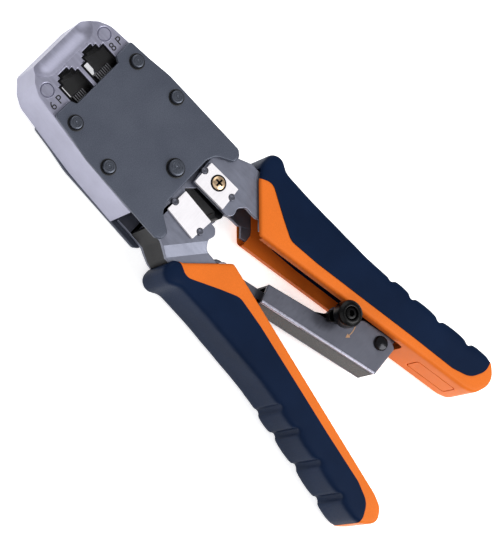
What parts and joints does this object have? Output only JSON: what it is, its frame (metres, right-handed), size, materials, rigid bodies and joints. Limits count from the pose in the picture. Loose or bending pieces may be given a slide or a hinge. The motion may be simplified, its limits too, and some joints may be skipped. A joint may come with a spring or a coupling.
{
  "type": "modular plug crimping tool",
  "caption": "Hand crimping tool with a ratchet link for modular plugs: two die openings in a steel head, cutting and stripping blades, two-colour grips.",
  "frame": {"origin": "on the main pivot axis, on the flat back face of the pivot rivet's head, which is the lowest level of the tool lying on its back", "axes": "+Y from the pivot towards the nose of the head, +Z out of the front cover, +X to the right seen from the front (towards the moving grip)"},
  "size_m": [0.095, 0.2277, 0.0328],
  "materials": {
    "frame_steel": "satin nickel",
    "cover_grey": "satin powder coat with fine speckle",
    "cover_grey_rivet": "satin",
    "arm_steel": "satin blue-grey",
    "blade_steel": "ground",
    "brass_screw": "bright",
    "pin_steel": "ground",
    "spring_steel": "drawn wire",
    "link_steel": "satin",
    "die_black": "black oxide",
    "knob_black": "moulded",
    "grip_orange": "moulded, satin",
    "grip_navy": "moulded, satin"
  },
  "bodies": {
    "head": {"head_frame": "frame_steel", "front_cover": "cover_grey", "back_cover": "cover_grey", "main_pivot_rivet": "cover_grey_rivet", "upper_rivet_left": "cover_grey_rivet", "upper_rivet_right": "cover_grey_rivet", "lower_rivet_left": "cover_grey_rivet", "lower_rivet_right": "cover_grey_rivet", "die_dowel_left": "pin_steel", "die_dowel_right": "pin_steel", "die_nest_8p": "die_black", "die_nest_6p": "die_black", "fixed_arm": "arm_steel", "fixed_grip_orange": "grip_orange", "fixed_grip_navy": "grip_navy", "stripping_blade": "blade_steel", "stripping_blade_pin_upper": "pin_steel", "stripping_blade_pin_lower": "pin_steel", "stripping_blade_screw": "pin_steel", "bar_pin": "pin_steel", "return_spring": "spring_steel"},
    "moving_handle": {"moving_arm": "arm_steel", "moving_grip_orange": "grip_orange", "moving_grip_navy": "grip_navy", "cutting_blade": "blade_steel", "cutting_blade_pin_upper": "pin_steel", "cutting_blade_pin_lower": "pin_steel", "cutting_blade_screw": "brass_screw", "crank_pin": "pin_steel", "link_pin": "die_black", "cable_stop": "die_black"},
    "punch_slide_body": {"punch_slide": "die_black", "punch_8p": "die_black", "punch_6p": "die_black", "contact_comb_8p": "spring_steel", "contact_comb_6p": "spring_steel"},
    "ratchet_box_body": {"ratchet_box": "link_steel", "pawl_spring": "spring_steel"},
    "ratchet_bar_body": {"ratchet_bar": "link_steel"},
    "release_lever_body": {"pawl": "die_black", "release_lever": "knob_black", "release_knob": "knob_black", "knob_screw": "pin_steel"}
  },
  "joints": [
    {"name": "handle_hinge", "type": "hinge", "parent": "head", "child": "moving_handle", "pos_m": [0, 0, 0.013], "axis": [0, 0, -1], "range_deg": [0, 13], "stiffness_Nm_per_rad": 0.6, "springref_deg": -8.59, "deforming": ["return_spring"]},
    {"name": "punch_travel", "type": "slide", "parent": "head", "child": "punch_slide_body", "axis": [0, 1, 0], "range_m": [0, 0.0033]},
    {"name": "box_hinge", "type": "hinge", "parent": "moving_handle", "child": "ratchet_box_body", "pos_m": [0.0183, -0.1132, 0.013], "axis": [0, 0, -1], "range_deg": [0, 8]},
    {"name": "bar_travel", "type": "slide", "parent": "ratchet_box_body", "child": "ratchet_bar_body", "axis": [0.3099, -0.9508, 0], "range_m": [0, 0.0052]},
    {"name": "release_hinge", "type": "hinge", "parent": "ratchet_box_body", "child": "release_lever_body", "pos_m": [0.0116, -0.0919, 0.013], "axis": [0, 0, -1], "range_deg": [0, 15], "stiffness_Nm_per_rad": 0.02, "springref_deg": -5.73}
  ],
  "couplings": [
    {"joint": "punch_travel", "follows": "handle_hinge", "m_per_rad": 0.0138},
    {"joint": "box_hinge", "follows": "handle_hinge", "ratio": 0.534},
    {"joint": "bar_travel", "follows": "handle_hinge", "m_per_rad": 0.02146}
  ]
}
